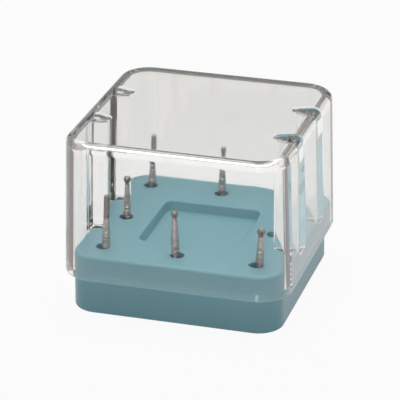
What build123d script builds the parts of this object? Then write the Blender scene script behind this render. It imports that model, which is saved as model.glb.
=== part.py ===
"""A square block for small dental burs, with a clear cover that pushes over it.

Millimetres, +Z up. The origin is on the ground under the middle of the block.
The front is at -Y, and the two walls of the cover that carry its ridges are at -X and +X.
"""

import os
from math import atan, atan2, cos, degrees, radians, sin, tan

from build123d import *

# Block: one hollow moulding, open below
block_side = 41.6
block_height = 12.0
block_corner = 5.0
block_draft = 0.5
block_wall = 1.8
deck_thickness = 2.0
deck_edge_round = 0.6
foot_edge_round = 0.3

# Shallow recess in the middle of the deck
recess_side = 19.6
recess_corner = 1.6
recess_depth = 1.8
recess_draft = 14.0

# Sockets for the burs, on a grid round the recess
socket_pitch = 15.2
middle_setback = 0.85
middle_shift = 0.3
bore_diameter = 2.7
bore_depth = 9.6
bore_flare = 0.1
boss_wall = 1.5
boss_floor = 1.2
rib_thickness = 1.2
rib_depth = 5.0

# Clear cover: drafted walls, standing on the deck by its four ridges
cover_gap = 0.3
cover_wall = 1.4
cover_draft = 1.5
skirt_overlap = 4.6
cover_rise = 23.3
cover_top_round = 1.5
cover_inner_round = 1.0
skirt_edge_round = 0.3
lead_in_height = 1.2
lead_in_depth = 0.4

# Ridges: solid upright wedges inside the left and right walls, a little behind the middle
ridge_pitch = 14.3
ridge_setback = 0.2
ridge_reach = 5.6
ridge_nose_radius = 0.7
ridge_flank_angle = 22.0
ridge_root_round = 0.5
ridge_end_round = 0.3

# Burs: a common friction-grip shank, which leans over in its loose socket
shank_diameter = 1.6
shank_end_chamfer = 0.2
round_blade_count = 8
straight_blade_count = 6
blade_skew = 14.0
gullet_depth = 0.13
gullet_sweep = 125.0
gullet_overrun = 0.4

# Cross-cut fissure bur, front left
crosscut_rise = 10.6
crosscut_shank_rise = 2.9
crosscut_neck_diameter = 1.1
crosscut_head_diameter = 1.2
crosscut_head_length = 4.4
crosscut_nick_pitch = 0.46
crosscut_nick_depth = 0.09
crosscut_ring_rises = (1.85, 2.6)
ring_depth = 0.06

# Plain fissure bur with a domed end, back left
fissure_rise = 9.5
fissure_shank_rise = 0.6
fissure_neck_diameter = 0.95
fissure_head_diameter = 1.1
fissure_head_length = 3.8

# Inverted-cone bur, back
cone_rise = 8.2
cone_shank_rise = 1.4
cone_neck_diameter = 0.8
cone_head_diameter = 1.15
cone_head_length = 1.3

# Round burs: left, front and front right
left_round_rise = 8.3
left_round_shank_rise = 0.6
left_round_neck_diameter = 0.85
left_round_head_diameter = 1.45
front_round_rise = 9.0
front_round_shank_rise = 3.2
front_round_neck_diameter = 0.9
front_round_head_diameter = 1.4
right_round_rise = 7.6
right_round_shank_rise = 1.8
right_round_neck_diameter = 0.95
right_round_head_diameter = 1.6

# How each bur leans: by how many degrees, and which way, in degrees about +Z from +X
bur_leans = {
    "front_left": (2.4, 5),
    "left": (3.0, 90),
    "back_left": (3.8, 78),
    "back": (4.5, 92),
    "front": (1.0, 150),
    "front_right": (2.4, 20),
}

# Places that follow from the sizes above
deck_z = block_height
skirt_z = deck_z - skirt_overlap
cover_height = skirt_overlap + cover_rise
socket_floor_z = deck_z - bore_depth
boss_diameter = bore_diameter + 2 * boss_wall
boss_foot_z = socket_floor_z - boss_floor
cover_inner_side = block_side + 2 * cover_gap
cover_side = cover_inner_side + 2 * cover_wall
cover_inner_corner = block_corner + cover_gap
cover_corner = cover_inner_corner + cover_wall

# Every socket, by the side of the block it stands at
socket_places = {
    "front_left": (-socket_pitch, -socket_pitch),
    "left": (-socket_pitch, -middle_setback),
    "back_left": (-socket_pitch, socket_pitch),
    "back": (-middle_shift, socket_pitch),
    "back_right": (socket_pitch, socket_pitch),
    "right": (socket_pitch, -middle_setback),
    "front_right": (socket_pitch, -socket_pitch),
    "front": (-middle_shift, -socket_pitch),
}


def make_block():
    """The teal block: a drafted shell with socket bosses and ribs under its deck."""
    cavity_side = block_side - 2 * block_wall
    under_deck_z = deck_z - deck_thickness
    pad_side = recess_side + 2 * block_wall
    with BuildPart() as block:
        with BuildSketch(Plane.XY):
            RectangleRounded(block_side, block_side, block_corner)
        extrude(amount=block_height, taper=block_draft)
        fillet(block.edges().group_by(Axis.Z)[-1], radius=deck_edge_round)
        fillet(block.edges().group_by(Axis.Z)[0], radius=foot_edge_round)
        with BuildSketch(Plane.XY):
            RectangleRounded(cavity_side, cavity_side, block_corner - block_wall)
        extrude(amount=under_deck_z, taper=block_draft, mode=Mode.SUBTRACT)

        # Thickening that carries the floor of the recess
        with BuildSketch(Plane.XY.offset(under_deck_z - recess_depth)):
            with Locations((0, -middle_setback)):
                RectangleRounded(pad_side, pad_side, recess_corner + block_wall)
        extrude(amount=recess_depth)

        # Ribs along the rows of sockets, then the bosses on them
        with BuildSketch(Plane.XY.offset(under_deck_z - rib_depth)) as rib_plan:
            for across in (-socket_pitch, 0, socket_pitch):
                with Locations((0, across)):
                    Rectangle(cavity_side + block_wall, rib_thickness)
                with Locations((across, 0)):
                    Rectangle(rib_thickness, cavity_side + block_wall)
        extrude(amount=rib_depth)
        with BuildSketch(Plane.XY.offset(boss_foot_z)):
            with Locations(*socket_places.values()):
                Circle(boss_diameter / 2)
        extrude(amount=under_deck_z - boss_foot_z)

        # Recess and sockets, cut from the deck down
        with BuildSketch(Plane.XY.offset(deck_z)):
            with Locations((0, -middle_setback)):
                RectangleRounded(recess_side, recess_side, recess_corner)
        extrude(amount=-recess_depth, taper=recess_draft, mode=Mode.SUBTRACT)
        with BuildSketch(Plane.XY.offset(socket_floor_z)):
            with Locations(*socket_places.values()):
                Circle(bore_diameter / 2)
        extrude(amount=bore_depth, mode=Mode.SUBTRACT)
        mouths = block.edges().filter_by(GeomType.CIRCLE).group_by(Axis.Z)[-1]
        chamfer(mouths.filter_by(lambda edge: edge.radius < bore_diameter), length=bore_flare)
    return block


def ridge_plan():
    """Draws the four wedges: a round nose inside, and flanks that open out until they are past the wall."""
    flank = radians(ridge_flank_angle)
    nose_x = cover_side / 2 - ridge_reach + ridge_nose_radius
    start = (-ridge_nose_radius * sin(flank), ridge_nose_radius * cos(flank))
    end = (ridge_reach, start[1] + (ridge_reach - start[0]) * tan(flank))
    for side in (-1, 1):
        for row in (-1, 1):
            with Locations((side * nose_x, row * ridge_pitch / 2 + ridge_setback)):
                Circle(ridge_nose_radius)
                Polygon(
                    (side * start[0], start[1]),
                    (side * end[0], end[1]),
                    (side * end[0], -end[1]),
                    (side * start[0], -start[1]),
                    align=None,
                )


def at_ridge_root(edge):
    """Whether an edge of the core is an upright one, where the notch for a ridge meets the wall."""
    middle = edge.center()
    upright = abs(edge.tangent_at(0.5).Z) > 0.9
    return upright and abs(middle.Y) < ridge_pitch and abs(middle.X) > cover_inner_side / 2 - cover_wall


def make_cover():
    """The clear cover: a drafted box, and the core that hollows it, notched for the four ridges."""
    with BuildPart() as ridges:
        with BuildSketch(Plane.XY.offset(deck_z)):
            ridge_plan()
        extrude(amount=cover_rise)
        fillet(ridges.edges().group_by(Axis.Z)[0], radius=ridge_end_round)

    with BuildPart() as core:
        with BuildSketch(Plane.XY.offset(skirt_z)):
            RectangleRounded(cover_inner_side, cover_inner_side, cover_inner_corner)
        extrude(amount=cover_height - cover_wall, taper=cover_draft)
        add(ridges.part, mode=Mode.SUBTRACT)
        fillet(core.edges().group_by(Axis.Z)[-1], radius=cover_inner_round)
        fillet(core.edges().filter_by(at_ridge_root), radius=ridge_root_round)
        with BuildSketch(Plane.XY.offset(skirt_z)):
            lead_in_side = cover_inner_side + 2 * lead_in_depth
            RectangleRounded(lead_in_side, lead_in_side, cover_inner_corner + lead_in_depth)
        extrude(amount=lead_in_height, taper=degrees(atan(lead_in_depth / lead_in_height)))

    with BuildPart() as cover:
        with BuildSketch(Plane.XY.offset(skirt_z)):
            RectangleRounded(cover_side, cover_side, cover_corner)
        extrude(amount=cover_height, taper=cover_draft)
        fillet(cover.edges().group_by(Axis.Z)[-1], radius=cover_top_round)
        fillet(cover.edges().group_by(Axis.Z)[0], radius=skirt_edge_round)
        add(core.part, mode=Mode.SUBTRACT)
    return cover


def bur_frame(place):
    """The plane through a leaning bur's axis: local Y runs up the axis from the shank's end.

    The shank's end stands on the socket's floor, and its side touches the socket's mouth.
    """
    x, y = socket_places[place]
    lean, turn = (radians(angle) for angle in bur_leans[place])
    end_height = (shank_diameter / 2 - shank_end_chamfer) * sin(lean)
    touch_height = bore_depth - bore_flare
    touch_offset = bore_diameter / 2 - shank_diameter / 2 / cos(lean)
    end_offset = touch_offset - (touch_height - end_height) * tan(lean)
    across = Vector(cos(turn), sin(turn), 0)
    up = Vector(0, 0, 1)
    axis = across * sin(lean) + up * cos(lean)
    side = across * cos(lean) - up * sin(lean)
    end = Vector(x, y, socket_floor_z) + across * end_offset + up * end_height
    return Plane(origin=end, x_dir=side, z_dir=side.cross(axis))


def axis_of(frame):
    """The bur's own axis."""
    return Axis(frame.origin, frame.y_dir)


def shank_outline(shank_rise, neck_diameter, neck_top, ring_rises=()):
    """The shank, any ring grooves on it and the tapering neck, as points from the axis up to the head."""
    radius = shank_diameter / 2
    points = [(0, 0), (radius - shank_end_chamfer, 0), (radius, shank_end_chamfer)]
    for ring_rise in ring_rises:
        height = bore_depth + ring_rise
        points.append((radius, height - ring_depth))
        points.append((radius - ring_depth, height))
        points.append((radius, height + ring_depth))
    points.append((radius, bore_depth + shank_rise))
    points.append((neck_diameter / 2, neck_top))
    return points


def straight_gullets(frame, head_foot, head_radius):
    """The gullets between the blades of a fissure or cone head, seen along the head."""
    foot = Plane(frame.origin + frame.y_dir * head_foot, x_dir=frame.x_dir, z_dir=frame.y_dir)
    with BuildSketch(foot) as gullets:
        with PolarLocations(head_radius, straight_blade_count):
            Circle(gullet_depth)
    return gullets.sketch


def make_fissure_bur(
    place, rise, shank_rise, neck_diameter, head_diameter, head_length, nick_depth=0, ring_rises=()
):
    """A straight-headed bur: nicked across its blades, or plain with a domed end."""
    frame = bur_frame(place)
    tip = bore_depth + rise
    head_foot = tip - head_length
    head_radius = head_diameter / 2
    neck_top = head_foot - head_radius / 2
    with BuildPart() as bur:
        with BuildSketch(frame):
            with BuildLine():
                Polyline(*shank_outline(shank_rise, neck_diameter, neck_top, ring_rises))
                if nick_depth:
                    side = [(neck_diameter / 2, neck_top), (head_radius, head_foot)]
                    for nick in range(1, int(head_length / crosscut_nick_pitch)):
                        height = head_foot + nick * crosscut_nick_pitch
                        side.append((head_radius, height - nick_depth))
                        side.append((head_radius - nick_depth, height))
                        side.append((head_radius, height + nick_depth))
                    side.append((head_radius, tip))
                    side.append((0, tip))
                    Polyline(*side)
                else:
                    Polyline(
                        (neck_diameter / 2, neck_top),
                        (head_radius, head_foot),
                        (head_radius, tip - head_radius),
                    )
                    CenterArc((0, tip - head_radius), head_radius, 0, 90)
                Line((0, tip), (0, 0))
            make_face()
        revolve(axis=axis_of(frame))
        gullets = straight_gullets(frame, head_foot, head_radius)
        extrude(gullets, amount=head_length + gullet_overrun, mode=Mode.SUBTRACT)
    return bur


def make_cone_bur(place, rise, shank_rise, neck_diameter, head_diameter, head_length):
    """An inverted-cone bur: its head is widest at the flat end."""
    frame = bur_frame(place)
    tip = bore_depth + rise
    head_foot = tip - head_length
    with BuildPart() as bur:
        with BuildSketch(frame):
            with BuildLine():
                Polyline(
                    *shank_outline(shank_rise, neck_diameter, head_foot),
                    (head_diameter / 2, tip),
                    (0, tip),
                    close=True,
                )
            make_face()
        revolve(axis=axis_of(frame))
        gullets = straight_gullets(frame, head_foot, head_diameter / 2)
        extrude(gullets, amount=head_length + gullet_overrun, mode=Mode.SUBTRACT)
    return bur


def make_round_bur(place, rise, shank_rise, neck_diameter, head_diameter):
    """A round bur: a ball head with skewed gullets that meet near its tip."""
    frame = bur_frame(place)
    head_radius = head_diameter / 2
    tip = bore_depth + rise
    centre_height = tip - head_radius
    neck_sink = (head_radius**2 - (neck_diameter / 2) ** 2) ** 0.5
    neck_angle = degrees(atan2(-neck_sink, neck_diameter / 2))
    centre = frame.origin + frame.y_dir * centre_height
    with BuildPart() as bur:
        with BuildSketch(frame):
            with BuildLine():
                Polyline(*shank_outline(shank_rise, neck_diameter, centre_height - neck_sink))
                CenterArc((0, centre_height), head_radius, neck_angle, 90 - neck_angle)
                Line((0, tip), (0, 0))
            make_face()
        revolve(axis=axis_of(frame))
        for blade in range(round_blade_count):
            out = frame.x_dir.rotate(Axis((0, 0, 0), frame.y_dir), blade * 360 / round_blade_count)
            hinge = out.cross(frame.y_dir).rotate(Axis((0, 0, 0), out), blade_skew)
            section = Plane(centre, x_dir=hinge, z_dir=out)
            with BuildSketch(section):
                with BuildLine():
                    Polyline(
                        (0, head_radius - gullet_depth),
                        (gullet_depth, head_radius + gullet_depth / 2),
                        (-gullet_depth, head_radius + gullet_depth / 2),
                        close=True,
                    )
                make_face()
            revolve(axis=Axis(centre, hinge), revolution_arc=gullet_sweep, mode=Mode.SUBTRACT)
    return bur


block = make_block()
block.part.label = "base_block"
os.makedirs("parts", exist_ok=True)
export_step(block.part, "parts/base_block.step")

cover = make_cover()
cover.part.label = "cover"
export_step(cover.part, "parts/cover.step")

bur_front_left = make_fissure_bur(
    "front_left",
    crosscut_rise,
    crosscut_shank_rise,
    crosscut_neck_diameter,
    crosscut_head_diameter,
    crosscut_head_length,
    nick_depth=crosscut_nick_depth,
    ring_rises=crosscut_ring_rises,
)
bur_front_left.part.label = "bur_front_left"
export_step(bur_front_left.part, "parts/bur_front_left.step")

bur_left = make_round_bur(
    "left",
    left_round_rise,
    left_round_shank_rise,
    left_round_neck_diameter,
    left_round_head_diameter,
)
bur_left.part.label = "bur_left"
export_step(bur_left.part, "parts/bur_left.step")

bur_back_left = make_fissure_bur(
    "back_left",
    fissure_rise,
    fissure_shank_rise,
    fissure_neck_diameter,
    fissure_head_diameter,
    fissure_head_length,
)
bur_back_left.part.label = "bur_back_left"
export_step(bur_back_left.part, "parts/bur_back_left.step")

bur_back = make_cone_bur(
    "back",
    cone_rise,
    cone_shank_rise,
    cone_neck_diameter,
    cone_head_diameter,
    cone_head_length,
)
bur_back.part.label = "bur_back"
export_step(bur_back.part, "parts/bur_back.step")

bur_front = make_round_bur(
    "front",
    front_round_rise,
    front_round_shank_rise,
    front_round_neck_diameter,
    front_round_head_diameter,
)
bur_front.part.label = "bur_front"
export_step(bur_front.part, "parts/bur_front.step")

bur_front_right = make_round_bur(
    "front_right",
    right_round_rise,
    right_round_shank_rise,
    right_round_neck_diameter,
    right_round_head_diameter,
)
bur_front_right.part.label = "bur_front_right"
export_step(bur_front_right.part, "parts/bur_front_right.step")
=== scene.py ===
"""The bur block as it looks: teal block, clear ridged cover and six steel burs on a white table."""

import math

import bpy
from mathutils import Matrix, Vector


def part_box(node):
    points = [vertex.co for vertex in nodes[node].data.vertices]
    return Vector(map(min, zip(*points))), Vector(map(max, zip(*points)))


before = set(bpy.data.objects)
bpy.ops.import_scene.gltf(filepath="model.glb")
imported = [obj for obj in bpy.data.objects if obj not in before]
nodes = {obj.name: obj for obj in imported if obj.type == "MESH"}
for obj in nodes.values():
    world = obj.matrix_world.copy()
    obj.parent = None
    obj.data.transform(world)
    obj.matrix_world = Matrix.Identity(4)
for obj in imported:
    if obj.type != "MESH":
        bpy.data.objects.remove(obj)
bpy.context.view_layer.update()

# Block: one teal moulding in a satin-textured tool. The mould's fine spark texture shows as a soft
# grain, and the plastic's flow leaves the colour very slightly uneven.


def new_group(name, inputs, outputs):
    """An empty shader group with named sockets: returns the group, its input node and its output node."""
    group = bpy.data.node_groups.new(name, "ShaderNodeTree")
    for label, kind, value in inputs:
        socket = group.interface.new_socket(label, in_out="INPUT", socket_type=kind)
        socket.default_value = value
    for label, kind in outputs:
        group.interface.new_socket(label, in_out="OUTPUT", socket_type=kind)
    return group, group.nodes.new("NodeGroupInput"), group.nodes.new("NodeGroupOutput")


def add_node(tree, kind, **settings):
    """A new node in that tree, with its settings, and its inputs given by name."""
    node = tree.nodes.new(kind)
    for key, value in settings.items():
        if key == "inputs":
            for label, given in value.items():
                node.inputs[label].default_value = given
        else:
            setattr(node, key, value)
    return node


def sum_of(tree, operation, first, second):
    """The result of one sum on two values, each a number or another node's output."""
    node = add_node(tree, "ShaderNodeMath", operation=operation)
    for socket, given in zip(node.inputs, (first, second)):
        if isinstance(given, bpy.types.NodeSocket):
            tree.links.new(given, socket)
        else:
            socket.default_value = given
    return node.outputs[0]


def moulded_surface_group():
    """Uneven colour from the plastic's flow, and the fine texture of a spark-eroded mould."""
    group, given, out = new_group(
        "moulded_surface",
        [
            ("Flow Scale", "NodeSocketFloat", 60.0),
            ("Grain Scale", "NodeSocketFloat", 4000.0),
        ],
        [("Flow", "NodeSocketFloat"), ("Grain", "NodeSocketFloat")],
    )
    place = add_node(group, "ShaderNodeTexCoord")
    flow = add_node(
        group,
        "ShaderNodeTexNoise",
        inputs={"Detail": 3.0, "Roughness": 0.5, "Distortion": 0.8},
    )
    grain = add_node(group, "ShaderNodeTexNoise", inputs={"Detail": 2.0, "Roughness": 0.6})
    link = group.links.new
    link(place.outputs["Object"], flow.inputs["Vector"])
    link(place.outputs["Object"], grain.inputs["Vector"])
    link(given.outputs["Flow Scale"], flow.inputs["Scale"])
    link(given.outputs["Grain Scale"], grain.inputs["Scale"])
    link(flow.outputs["Fac"], out.inputs["Flow"])
    link(grain.outputs["Fac"], out.inputs["Grain"])
    return group


moulded_surface = moulded_surface_group()


def new_material(name):
    """An empty node material: returns it with its tree and its output node."""
    material = bpy.data.materials.new(name)
    material.use_nodes = True
    tree = material.node_tree
    tree.nodes.clear()
    return material, tree, tree.nodes.new("ShaderNodeOutputMaterial")


def teal_plastic():
    """Satin teal polypropylene."""
    material, tree, out = new_material("teal_plastic")
    surface = add_node(tree, "ShaderNodeGroup", node_tree=moulded_surface)
    surface.inputs["Flow Scale"].default_value = 90.0
    surface.inputs["Grain Scale"].default_value = 5200.0
    colour = add_node(tree, "ShaderNodeMix", data_type="RGBA")
    colour.inputs["A"].default_value = (0.165, 0.360, 0.420, 1.0)
    colour.inputs["B"].default_value = (0.190, 0.390, 0.455, 1.0)
    bump = add_node(tree, "ShaderNodeBump", inputs={"Strength": 0.12, "Distance": 0.00004})
    shader = add_node(tree, "ShaderNodeBsdfPrincipled", inputs={"Roughness": 0.34, "IOR": 1.49})
    link = tree.links.new
    link(surface.outputs["Flow"], colour.inputs["Factor"])
    link(surface.outputs["Grain"], bump.inputs["Height"])
    link(colour.outputs["Result"], shader.inputs["Base Color"])
    link(bump.outputs["Normal"], shader.inputs["Normal"])
    link(shader.outputs["BSDF"], out.inputs["Surface"])
    return material


nodes["base_block"].material_slots[0].material = teal_plastic()

# Cover: one clear styrene moulding with polished faces. It is handled each time it comes off,
# so its faces carry faint rubbing that only blurs what they reflect.


def clear_plastic():
    """Clear styrene: bends light as the real plastic does, and lets the lamps' light in to the burs."""
    material, tree, out = new_material("clear_plastic")
    surface = add_node(tree, "ShaderNodeGroup", node_tree=moulded_surface)
    surface.inputs["Flow Scale"].default_value = 45.0
    surface.inputs["Grain Scale"].default_value = 900.0
    rubbing = add_node(tree, "ShaderNodeMapRange", inputs={"To Min": 0.02, "To Max": 0.06})
    shader = add_node(
        tree,
        "ShaderNodeBsdfPrincipled",
        inputs={"Base Color": (0.99, 0.985, 0.975, 1.0), "Transmission Weight": 1.0, "IOR": 1.57},
    )
    path = add_node(tree, "ShaderNodeLightPath")
    passing = add_node(tree, "ShaderNodeBsdfTransparent", inputs={"Color": (0.96, 0.96, 0.95, 1.0)})
    choice = add_node(tree, "ShaderNodeMixShader")
    link = tree.links.new
    link(surface.outputs["Flow"], rubbing.inputs["Value"])
    link(rubbing.outputs["Result"], shader.inputs["Roughness"])
    link(path.outputs["Is Shadow Ray"], choice.inputs["Fac"])
    link(shader.outputs["BSDF"], choice.inputs[1])
    link(passing.outputs["BSDF"], choice.inputs[2])
    link(choice.outputs["Shader"], out.inputs["Surface"])
    body = add_node(
        tree,
        "ShaderNodeVolumeAbsorption",
        inputs={"Color": (0.80, 0.76, 0.70, 1.0), "Density": 6.0},
    )
    link(body.outputs["Volume"], out.inputs["Volume"])
    return material


nodes["cover"].material_slots[0].material = clear_plastic()

# Light crosses many faces of the cover before it gets out of its rounded edges
scene = bpy.context.scene
scene.cycles.max_bounces = 32
scene.cycles.transmission_bounces = 32
scene.cycles.glossy_bounces = 16
scene.cycles.transparent_max_bounces = 32

# Burs: ground steel. The wheel leaves fine rings round the shank, which draw every reflection out along
# the bur, and the cutting head is darker from its heat treatment and the grit between its blades.
head_lengths = {
    "bur_front_left": 0.0046,
    "bur_left": 0.0017,
    "bur_back_left": 0.0040,
    "bur_back": 0.0014,
    "bur_front": 0.0016,
    "bur_front_right": 0.0018,
}


def ground_rings_group():
    """A normal that fine grinding rings tip up and down, and a mask of the darker grit in them."""
    group, given, out = new_group(
        "ground_rings",
        [("Rings Per Metre", "NodeSocketFloat", 9000.0), ("Tilt", "NodeSocketFloat", 0.5)],
        [("Normal", "NodeSocketVector"), ("Grit", "NodeSocketFloat")],
    )
    place = add_node(group, "ShaderNodeTexCoord")
    stretch = add_node(group, "ShaderNodeVectorMath", operation="MULTIPLY")
    stretch.inputs[1].default_value = (0.06, 0.06, 1.0)
    rings = add_node(group, "ShaderNodeTexNoise", inputs={"Detail": 2.0, "Roughness": 0.7})
    grit = add_node(group, "ShaderNodeTexNoise", inputs={"Scale": 2600.0, "Detail": 3.0, "Roughness": 0.65})
    tip = add_node(
        group,
        "ShaderNodeMapRange",
        inputs={"From Min": 0.25, "From Max": 0.75, "To Min": -1.0, "To Max": 1.0},
    )
    lift = add_node(group, "ShaderNodeCombineXYZ")
    surface = add_node(group, "ShaderNodeNewGeometry")
    total = add_node(group, "ShaderNodeVectorMath", operation="ADD")
    unit = add_node(group, "ShaderNodeVectorMath", operation="NORMALIZE")
    link = group.links.new
    link(place.outputs["Object"], stretch.inputs[0])
    link(stretch.outputs["Vector"], rings.inputs["Vector"])
    link(given.outputs["Rings Per Metre"], rings.inputs["Scale"])
    link(place.outputs["Object"], grit.inputs["Vector"])
    link(rings.outputs["Fac"], tip.inputs["Value"])
    tilt = sum_of(group, "MULTIPLY", tip.outputs["Result"], given.outputs["Tilt"])
    link(tilt, lift.inputs["Z"])
    link(surface.outputs["Normal"], total.inputs[0])
    link(lift.outputs["Vector"], total.inputs[1])
    link(total.outputs["Vector"], unit.inputs[0])
    link(unit.outputs["Vector"], out.inputs["Normal"])
    link(grit.outputs["Fac"], out.inputs["Grit"])
    return group


ground_rings = ground_rings_group()


def bur_steel(name, head_foot):
    """Ground steel that turns darker and rougher above the foot of the cutting head."""
    material, tree, out = new_material(name + "_steel")
    surface = add_node(tree, "ShaderNodeGroup", node_tree=ground_rings)
    surface.inputs["Rings Per Metre"].default_value = 9000.0
    surface.inputs["Tilt"].default_value = 1.1
    place = add_node(tree, "ShaderNodeTexCoord")
    split = add_node(tree, "ShaderNodeSeparateXYZ")
    head = add_node(
        tree,
        "ShaderNodeMapRange",
        inputs={"From Min": head_foot - 0.0002, "From Max": head_foot + 0.0002},
    )
    worn = add_node(tree, "ShaderNodeMix", data_type="RGBA")
    worn.inputs["A"].default_value = (0.33, 0.285, 0.275, 1.0)
    worn.inputs["B"].default_value = (0.74, 0.65, 0.63, 1.0)
    colour = add_node(tree, "ShaderNodeMix", data_type="RGBA")
    colour.inputs["B"].default_value = (0.32, 0.29, 0.28, 1.0)
    rough = add_node(tree, "ShaderNodeMapRange", inputs={"To Min": 0.22, "To Max": 0.34})
    shader = add_node(tree, "ShaderNodeBsdfPrincipled", inputs={"Metallic": 1.0})
    link = tree.links.new
    link(place.outputs["Object"], split.inputs["Vector"])
    link(split.outputs["Z"], head.inputs["Value"])
    link(surface.outputs["Grit"], worn.inputs["Factor"])
    link(worn.outputs["Result"], colour.inputs["A"])
    link(head.outputs["Result"], colour.inputs["Factor"])
    link(head.outputs["Result"], rough.inputs["Value"])
    link(colour.outputs["Result"], shader.inputs["Base Color"])
    link(rough.outputs["Result"], shader.inputs["Roughness"])
    link(surface.outputs["Normal"], shader.inputs["Normal"])
    link(shader.outputs["BSDF"], out.inputs["Surface"])
    return material


for name, head_length in head_lengths.items():
    head_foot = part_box(name)[1][2] - head_length
    nodes[name].material_slots[0].material = bur_steel(name, head_foot)

# Table: a plain white floor under soft studio light. Where gloss sees it in front of the block it is
# painted dim grey, a painted shade that keeps its glare off the block's front, and light turned inside a
# clear edge of the cover sees it glow a painted dim brown.
floor_radius = 3.0
bpy.ops.mesh.primitive_circle_add(vertices=96, radius=floor_radius, fill_type="NGON")
floor = bpy.context.object
floor.name = "table"


def white_table():
    """Matt white that takes the object's shadow. Gloss sees it painted dim grey in front of the block, a
    painted shade, and light turned inside a clear edge sees it glow a painted dim brown.
    """
    material, tree, out = new_material("white_table")
    place = add_node(tree, "ShaderNodeTexCoord")
    split = add_node(tree, "ShaderNodeSeparateXYZ")
    path = add_node(tree, "ShaderNodeLightPath")
    link = tree.links.new
    link(place.outputs["Object"], split.inputs["Vector"])

    # Light that has crossed no more than one wall of the cover has met fewer than three of its faces
    one_wall = sum_of(tree, "LESS_THAN", path.outputs["Transmission Depth"], 2.5)

    # Painted shade: gloss sees the table painted dim grey from just in front of the block onwards
    shade_starts = -0.03
    shade_full = -0.06
    in_front = add_node(
        tree,
        "ShaderNodeMapRange",
        inputs={"From Min": shade_starts, "From Max": shade_full},
    )
    link(split.outputs["Y"], in_front.inputs["Value"])
    near_front = sum_of(tree, "MULTIPLY", in_front.outputs["Result"], one_wall)
    painted_front_shade = sum_of(tree, "MULTIPLY", near_front, path.outputs["Is Glossy Ray"])
    # The matt colour turns from white to a painted dim grey where that painted shade applies
    matt_colour = add_node(tree, "ShaderNodeMix", data_type="RGBA")
    matt_colour.inputs["A"].default_value = (0.9, 0.9, 0.9, 1.0)
    matt_colour.inputs["B"].default_value = (0.25, 0.25, 0.25, 1.0)
    link(painted_front_shade, matt_colour.inputs["Factor"])
    matt = add_node(tree, "ShaderNodeBsdfDiffuse")
    link(matt_colour.outputs["Result"], matt.inputs["Color"])

    # Painted dark reflection: light that an edge of the cover has turned inside one wall sees the table
    # glow a painted dim brown in place of white, which darkens the cover's edges
    turned = sum_of(tree, "GREATER_THAN", path.outputs["Glossy Depth"], 0.5)
    turned_in_wall = sum_of(tree, "MULTIPLY", one_wall, turned)
    painted_edge_shade = sum_of(tree, "MULTIPLY", turned_in_wall, path.outputs["Is Transmission Ray"])
    # The glow turns from white to that painted dim brown for the turned light
    glow_colour = add_node(tree, "ShaderNodeMix", data_type="RGBA")
    glow_colour.inputs["A"].default_value = (1.0, 1.0, 1.0, 1.0)
    glow_colour.inputs["B"].default_value = (0.20, 0.172, 0.162, 1.0)
    link(painted_edge_shade, glow_colour.inputs["Factor"])
    glow = add_node(tree, "ShaderNodeEmission", inputs={"Strength": 1.0})
    link(glow_colour.outputs["Result"], glow.inputs["Color"])

    # The rest of each share stays matt, so that the object's shadow shows
    gloss_share = 0.85
    white_share = 0.92
    outside_painted_front_shade = sum_of(tree, "SUBTRACT", 1.0, painted_front_shade)
    gloss = sum_of(tree, "MULTIPLY", path.outputs["Is Glossy Ray"], outside_painted_front_shade)
    gloss_white = sum_of(tree, "MULTIPLY", gloss, gloss_share)
    camera_or_gloss = sum_of(tree, "MAXIMUM", path.outputs["Is Camera Ray"], gloss_white)
    seen = sum_of(tree, "MAXIMUM", camera_or_gloss, path.outputs["Is Transmission Ray"])
    choice = add_node(tree, "ShaderNodeMixShader")
    link(sum_of(tree, "MULTIPLY", seen, white_share), choice.inputs["Fac"])
    link(matt.outputs["BSDF"], choice.inputs[1])
    link(glow.outputs["Emission"], choice.inputs[2])
    link(choice.outputs["Shader"], out.inputs["Surface"])
    return material


floor.data.materials.append(white_table())


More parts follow.
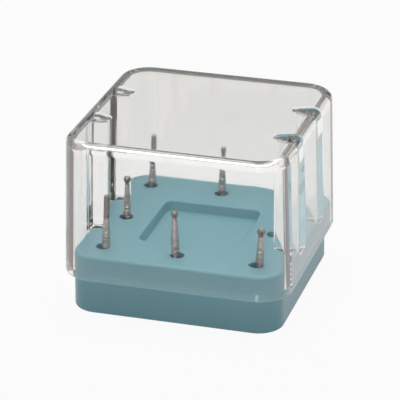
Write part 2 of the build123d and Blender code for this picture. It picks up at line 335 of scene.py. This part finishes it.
def studio_world():
    """Soft even light and a white backdrop; clear plastic and metal see a dim warm room above the table."""
    world = bpy.data.worlds.new("studio")
    world.use_nodes = True
    tree = world.node_tree
    tree.nodes.clear()
    out = tree.nodes.new("ShaderNodeOutputWorld")
    place = add_node(tree, "ShaderNodeTexCoord")
    split = add_node(tree, "ShaderNodeSeparateXYZ")
    path = add_node(tree, "ShaderNodeLightPath")
    link = tree.links.new
    link(place.outputs["Generated"], split.inputs["Vector"])

    # The room by height: pale at the table's rim, dim walls, and the pale ceiling round the lamp
    dim_wall = (0.27, 0.25, 0.235, 1.0)
    ramp = add_node(tree, "ShaderNodeValToRGB")
    ramp.color_ramp.elements[0].position = 0.02
    ramp.color_ramp.elements[0].color = (0.75, 0.73, 0.72, 1.0)
    ramp.color_ramp.elements[1].position = 0.10
    ramp.color_ramp.elements[1].color = dim_wall
    for position, colour in ((0.47, dim_wall), (0.54, (0.9, 0.88, 0.86, 1.0))):
        step = ramp.color_ramp.elements.new(position)
        step.color = colour
    link(split.outputs["Z"], ramp.inputs["Fac"])

    # Light turned more than once inside the plastic comes out pale
    room_colour = add_node(tree, "ShaderNodeMix", data_type="RGBA")
    room_colour.inputs["B"].default_value = (0.95, 0.93, 0.91, 1.0)
    link(sum_of(tree, "GREATER_THAN", path.outputs["Glossy Depth"], 1.5), room_colour.inputs["Factor"])
    link(ramp.outputs["Color"], room_colour.inputs["A"])

    fill = add_node(tree, "ShaderNodeBackground", inputs={"Color": (0.26, 0.26, 0.26, 1.0)})
    room = add_node(tree, "ShaderNodeBackground")
    backdrop = add_node(tree, "ShaderNodeBackground", inputs={"Color": (1.0, 1.0, 1.0, 1.0)})
    for light in (fill, room, backdrop):
        light.inputs["Strength"].default_value = 1.0
    mirrored = add_node(tree, "ShaderNodeMixShader")
    choice = add_node(tree, "ShaderNodeMixShader")
    seen = sum_of(tree, "MAXIMUM", path.outputs["Is Glossy Ray"], path.outputs["Is Transmission Ray"])
    link(room_colour.outputs["Result"], room.inputs["Color"])
    link(seen, mirrored.inputs["Fac"])
    link(fill.outputs["Background"], mirrored.inputs[1])
    link(room.outputs["Background"], mirrored.inputs[2])
    link(path.outputs["Is Camera Ray"], choice.inputs["Fac"])
    link(mirrored.outputs["Shader"], choice.inputs[1])
    link(backdrop.outputs["Background"], choice.inputs[2])
    link(choice.outputs["Shader"], out.inputs["Surface"])
    return world


bpy.context.scene.world = studio_world()


def soft_lamp(name, place, target, width, height, power):
    """A flat soft lamp that faces the target."""
    data = bpy.data.lights.new(name, "AREA")
    data.shape = "RECTANGLE"
    data.size = width
    data.size_y = height
    data.energy = power
    lamp = bpy.data.objects.new(name, data)
    lamp.location = place
    aim = Vector(target) - Vector(place)
    lamp.rotation_euler = aim.to_track_quat("-Z", "Y").to_euler()
    bpy.context.scene.collection.objects.link(lamp)
    return lamp


middle = (0.0, 0.0, 0.02)
soft_lamp("overhead_lamp", (-0.1, 0.3, 0.85), middle, 0.8, 0.8, 3.7)
soft_lamp("front_lamp", (0.12, -0.78, 0.5), middle, 0.16, 0.6, 1.0)

# Camera: a long lens from the front, a little to the right and above, as in the photograph.
camera_turn = math.radians(16.583)
camera_height = math.radians(23.956)
camera_roll = math.radians(-0.206)
camera_lens = 215.37
camera_place = Vector((0.12151, -0.40952, 0.20659))

back = Vector(
    (
        math.sin(camera_turn) * math.cos(camera_height),
        -math.cos(camera_turn) * math.cos(camera_height),
        math.sin(camera_height),
    )
)
level = Vector((0.0, 0.0, 1.0)).cross(back).normalized()
upright = back.cross(level)
right = level * math.cos(camera_roll) + upright * math.sin(camera_roll)
up = upright * math.cos(camera_roll) - level * math.sin(camera_roll)
camera = bpy.data.objects.new("camera", bpy.data.cameras.new("camera"))
camera.data.lens = camera_lens
camera.data.sensor_width = 36.0
camera.data.clip_start = 0.01
camera.data.clip_end = 20.0
camera.matrix_world = Matrix.Translation(camera_place) @ Matrix((right, up, back)).transposed().to_4x4()
bpy.context.scene.collection.objects.link(camera)
bpy.context.scene.camera = camera
bpy.context.scene.view_settings.view_transform = "Standard"
